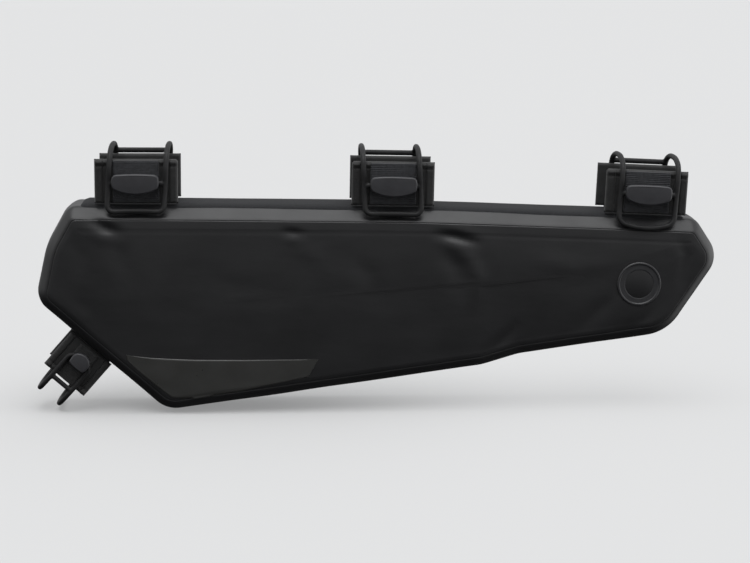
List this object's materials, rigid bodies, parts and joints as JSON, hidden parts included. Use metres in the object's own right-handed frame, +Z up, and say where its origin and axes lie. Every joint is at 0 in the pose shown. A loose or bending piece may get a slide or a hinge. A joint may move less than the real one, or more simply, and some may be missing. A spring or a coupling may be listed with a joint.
{
  "type": "bicycle frame bag",
  "caption": "Long tapered black welded pouch that hangs under a bicycle's top tube, tall at the front, with ladder strap units on top and one at the down tube.",
  "frame": {"origin": "middle of the middle strap seat, on top of the matte strip, in the bag's mid-plane", "axes": "+X along the bag to its narrow rear end, +Y to the side with the zip, +Z up to the top tube"},
  "size_m": [0.4498, 0.0652, 0.1766],
  "materials": {
    "coated_fabric": "satin black coated fabric, welded, lightly creased",
    "gloss_fabric": "glossier dark grey abrasion patch",
    "matte_strip": "matte dark grey reinforcing strip",
    "woven_webbing": "ribbed dark grey webbing",
    "folded_pad": "folded black fabric pad",
    "moulded_hook": "satin moulded black plastic",
    "rubber": "matt black rubber"
  },
  "bodies": {
    "root": {"abrasion_patch": "gloss_fabric", "front_hook_far": "moulded_hook", "front_hook_near": "moulded_hook", "front_loop": "rubber", "front_pad_far": "folded_pad", "front_pad_near": "folded_pad", "front_webbing_far": "woven_webbing", "front_webbing_near": "woven_webbing", "gusset": "coated_fabric", "lower_hook_far": "moulded_hook", "lower_hook_near": "moulded_hook", "lower_loop": "rubber", "lower_pad_far": "folded_pad", "lower_pad_near": "folded_pad", "lower_webbing_far": "woven_webbing", "lower_webbing_near": "woven_webbing", "middle_hook_far": "moulded_hook", "middle_hook_near": "moulded_hook", "middle_loop": "rubber", "middle_pad_far": "folded_pad", "middle_pad_near": "folded_pad", "middle_webbing_far": "woven_webbing", "middle_webbing_near": "woven_webbing", "panel_far": "coated_fabric", "panel_near": "coated_fabric", "rear_hook_far": "moulded_hook", "rear_hook_near": "moulded_hook", "rear_loop": "rubber", "rear_pad_far": "folded_pad", "rear_pad_near": "folded_pad", "rear_webbing_far": "woven_webbing", "rear_webbing_near": "woven_webbing", "roundel": "moulded_hook", "top_strip": "matte_strip", "zip_closure": "coated_fabric"}
  },
  "joints": []
}
